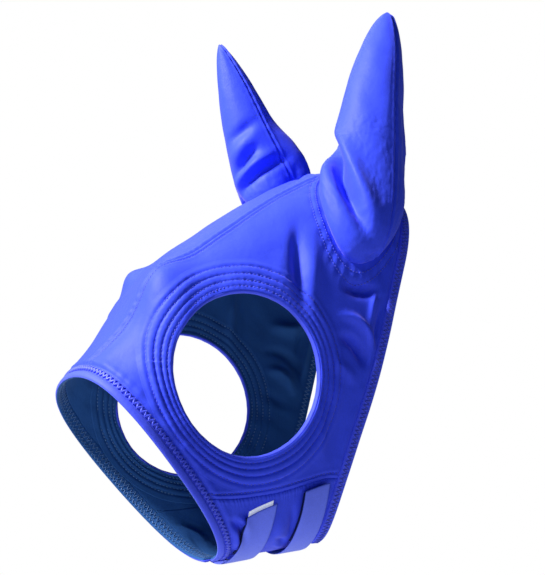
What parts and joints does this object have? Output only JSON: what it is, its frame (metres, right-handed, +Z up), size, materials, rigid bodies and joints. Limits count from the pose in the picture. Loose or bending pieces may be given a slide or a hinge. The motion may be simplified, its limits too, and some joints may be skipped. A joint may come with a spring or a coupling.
{
  "type": "horse fly mask",
  "caption": "Stretch-fabric horse hood with open padded eye holes, soft ear pockets and hook-and-loop straps under the jaw.",
  "frame": {"origin": "midway between the centres of the two eye openings, on the plane of symmetry of the hood", "axes": "+Z up from the jaw to the poll and ears, -Y forward towards the nose opening, +X to the horse's left"},
  "size_m": [0.1787, 0.282, 0.4884],
  "materials": {
    "royal_cloth": "royal blue stretch knit with a soft sheen",
    "dark_lining": "dark teal navy brushed lining",
    "foam": "soft open foam",
    "strap_cloth": "smooth light royal blue strap cloth",
    "hook_and_loop": "navy hook and loop tape",
    "label_cloth": "plain white woven tape"
  },
  "bodies": {
    "root": {"face_panel": "royal_cloth", "face_lining": "dark_lining", "nose_hem": "royal_cloth", "nose_elastic": "dark_lining", "neck_hem": "royal_cloth", "neck_elastic": "dark_lining", "left_cheek_panel": "royal_cloth", "left_cheek_lining": "dark_lining", "left_jaw_panel": "royal_cloth", "left_jaw_lining": "dark_lining", "left_eye_pad": "foam", "left_eye_binding": "royal_cloth", "left_ear_collar": "royal_cloth", "right_cheek_panel": "royal_cloth", "right_cheek_lining": "dark_lining", "right_jaw_panel": "royal_cloth", "right_jaw_lining": "dark_lining", "right_eye_pad": "foam", "right_eye_binding": "royal_cloth", "right_ear_collar": "royal_cloth", "front_strap_anchor": "strap_cloth", "front_loop_patch": "hook_and_loop", "rear_strap_anchor": "strap_cloth", "rear_loop_patch": "hook_and_loop", "label": "label_cloth"},
    "left_ear": {"left_ear_front": "royal_cloth", "left_ear_back": "royal_cloth"},
    "right_ear": {"right_ear_front": "royal_cloth", "right_ear_back": "royal_cloth"},
    "front_strap": {"front_strap": "strap_cloth", "front_hook_pad": "hook_and_loop"},
    "rear_strap": {"rear_strap": "strap_cloth", "rear_hook_pad": "hook_and_loop"}
  },
  "joints": [
    {"name": "left_ear_turn", "type": "hinge", "parent": "root", "child": "left_ear", "pos_m": [0.064, 0.106, 0.132], "axis": [-0.032, 0.174, 0.9842], "range_deg": [-30, 30], "stiffness_Nm_per_rad": 0.05},
    {"name": "right_ear_turn", "type": "hinge", "parent": "root", "child": "right_ear", "pos_m": [-0.064, 0.106, 0.132], "axis": [0.0478, -0.374, 0.9262], "range_deg": [-30, 30], "stiffness_Nm_per_rad": 0.05},
    {"name": "front_strap_peel", "type": "hinge", "parent": "root", "child": "front_strap", "pos_m": [-0.0312, 0.01825, -0.13149], "axis": [-0.0217, 0.9714, 0.2364], "range_deg": [0, 140]},
    {"name": "rear_strap_peel", "type": "hinge", "parent": "root", "child": "rear_strap", "pos_m": [-0.03145, 0.0653, -0.1209], "axis": [0.088, 0.9741, 0.2084], "range_deg": [0, 140]}
  ]
}
